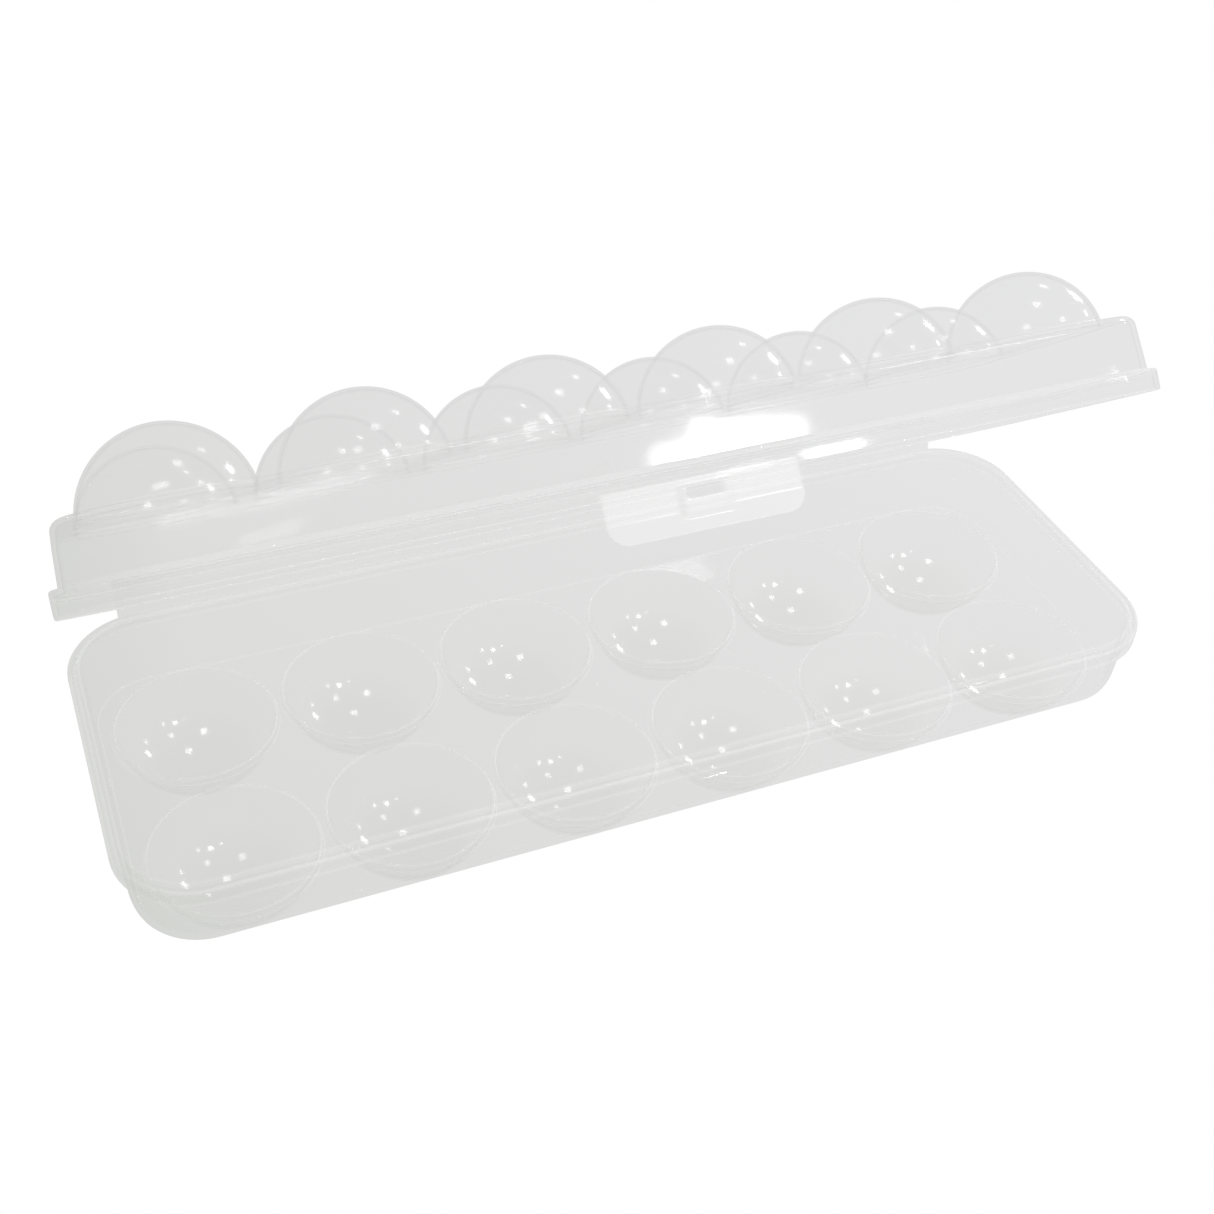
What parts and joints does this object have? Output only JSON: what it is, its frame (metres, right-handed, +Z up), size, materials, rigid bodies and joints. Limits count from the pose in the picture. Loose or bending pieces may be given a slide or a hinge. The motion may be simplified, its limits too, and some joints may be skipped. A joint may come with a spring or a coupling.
{
  "type": "egg carton",
  "caption": "Clear reusable egg carton: a rimmed tray of round cups, a hinged lid of matching domes, a film hinge along the back and a snap latch tab in front.",
  "frame": {"origin": "centre of the whole part's footprint with the lid part-open, at the level of the flat feet under the cups", "axes": "+X along the carton's length, +Y towards the hinge, +Z up; the latch is on the -Y side"},
  "size_m": [0.302, 0.1194, 0.1335],
  "materials": {
    "clear_tray": "clear moulded polypropylene, glossy with a slight haze",
    "clear_lid": "clear moulded polypropylene, glossy with a slight haze",
    "clear_latch": "clear moulded polypropylene, glossy, thicker section",
    "film_web": "thin polypropylene web, slightly whitened where it bends"
  },
  "bodies": {
    "tray": {"tray_pan": "clear_tray", "tray_rim": "clear_tray", "egg_cup_1_1": "clear_tray", "egg_cup_1_2": "clear_tray", "egg_cup_1_3": "clear_tray", "egg_cup_1_4": "clear_tray", "egg_cup_1_5": "clear_tray", "egg_cup_1_6": "clear_tray", "egg_cup_2_1": "clear_tray", "egg_cup_2_2": "clear_tray", "egg_cup_2_3": "clear_tray", "egg_cup_2_4": "clear_tray", "egg_cup_2_5": "clear_tray", "egg_cup_2_6": "clear_tray", "catch_nub": "clear_tray", "hinge_leaf_tray": "clear_tray", "film_hinge": "film_web"},
    "lid": {"lid_shell": "clear_lid", "lid_band": "clear_lid", "egg_dome_1_1": "clear_lid", "egg_dome_1_2": "clear_lid", "egg_dome_1_3": "clear_lid", "egg_dome_1_4": "clear_lid", "egg_dome_1_5": "clear_lid", "egg_dome_1_6": "clear_lid", "egg_dome_2_1": "clear_lid", "egg_dome_2_2": "clear_lid", "egg_dome_2_3": "clear_lid", "egg_dome_2_4": "clear_lid", "egg_dome_2_5": "clear_lid", "egg_dome_2_6": "clear_lid", "hinge_leaf_lid": "clear_lid"},
    "latch": {"latch_tab": "clear_latch"}
  },
  "joints": [
    {"name": "lid_hinge", "type": "hinge", "parent": "tray", "child": "lid", "pos_m": [0, 0.05712, 0.0491], "axis": [-1, 0, 0], "range_deg": [-40, 140], "deforming": ["film_hinge"]},
    {"name": "latch_flex", "type": "hinge", "parent": "lid", "child": "latch", "pos_m": [0.002, -0.03456, 0.11781], "axis": [-1, 0, 0], "range_deg": [0, 30], "stiffness_Nm_per_rad": 0.05}
  ]
}
